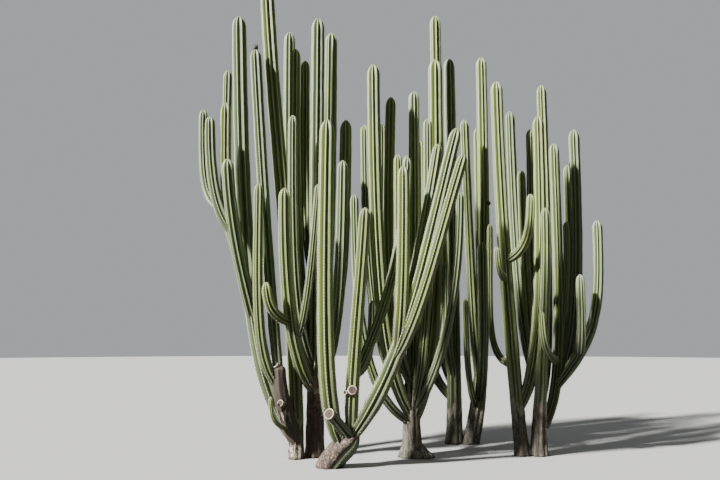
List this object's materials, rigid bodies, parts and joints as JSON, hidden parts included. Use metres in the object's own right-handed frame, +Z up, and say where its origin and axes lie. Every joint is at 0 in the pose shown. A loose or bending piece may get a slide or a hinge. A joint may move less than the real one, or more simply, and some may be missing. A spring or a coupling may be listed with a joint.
{
  "type": "candelabra cactus",
  "caption": "A tall candelabra cactus: a clump of ribbed columns that branch low, bend out and turn upright, with bark at the feet of the stems.",
  "frame": {"origin": "centre of the flat cut under the middle stem, at ground level", "axes": "+Z up, +X to the right and +Y to the back, as the picture shows the plant"},
  "size_m": [5.5917, 3.6163, 6.64],
  "materials": {
    "bark": "gray-brown bark at the foot that fades into green ribbed skin",
    "green_skin": "matte yellow-green ribbed skin with pale spiny crests"
  },
  "bodies": {
    "root": {"back_arm_1": "green_skin", "back_arm_2": "green_skin", "back_arm_3": "green_skin", "back_arm_4": "green_skin", "back_arm_5": "green_skin", "back_arm_6": "green_skin", "back_arm_7": "green_skin", "back_stem": "bark", "back_stem_2": "bark", "front_arm_1": "green_skin", "front_arm_2": "green_skin", "front_arm_3": "green_skin", "front_arm_4": "green_skin", "front_arm_5": "green_skin", "front_arm_6": "green_skin", "front_arm_7": "green_skin", "front_stem": "bark", "left_arm_1": "green_skin", "left_arm_12": "green_skin", "left_arm_13": "green_skin", "left_arm_14": "green_skin", "left_arm_15": "green_skin", "left_arm_16": "green_skin", "left_arm_17": "green_skin", "left_arm_18": "green_skin", "left_arm_19": "green_skin", "left_arm_2": "green_skin", "left_arm_4": "green_skin", "left_arm_5": "green_skin", "left_arm_6": "green_skin", "left_arm_7": "green_skin", "left_arm_9": "green_skin", "left_stem": "bark", "left_stem_2": "bark", "left_stump": "green_skin", "middle_arm_1": "green_skin", "middle_arm_10": "green_skin", "middle_arm_11": "green_skin", "middle_arm_2": "green_skin", "middle_arm_3": "green_skin", "middle_arm_4": "green_skin", "middle_arm_5": "green_skin", "middle_arm_6": "green_skin", "middle_arm_7": "green_skin", "middle_arm_8": "green_skin", "middle_stem": "bark", "right_arm_1": "green_skin", "right_arm_11": "green_skin", "right_arm_12": "green_skin", "right_arm_14": "green_skin", "right_arm_2": "green_skin", "right_arm_3": "green_skin", "right_arm_4": "green_skin", "right_arm_5": "green_skin", "right_arm_6": "green_skin", "right_arm_7": "green_skin", "right_arm_8": "green_skin", "right_arm_9": "green_skin", "right_stem": "bark", "right_stem_2": "bark"}
  },
  "joints": []
}
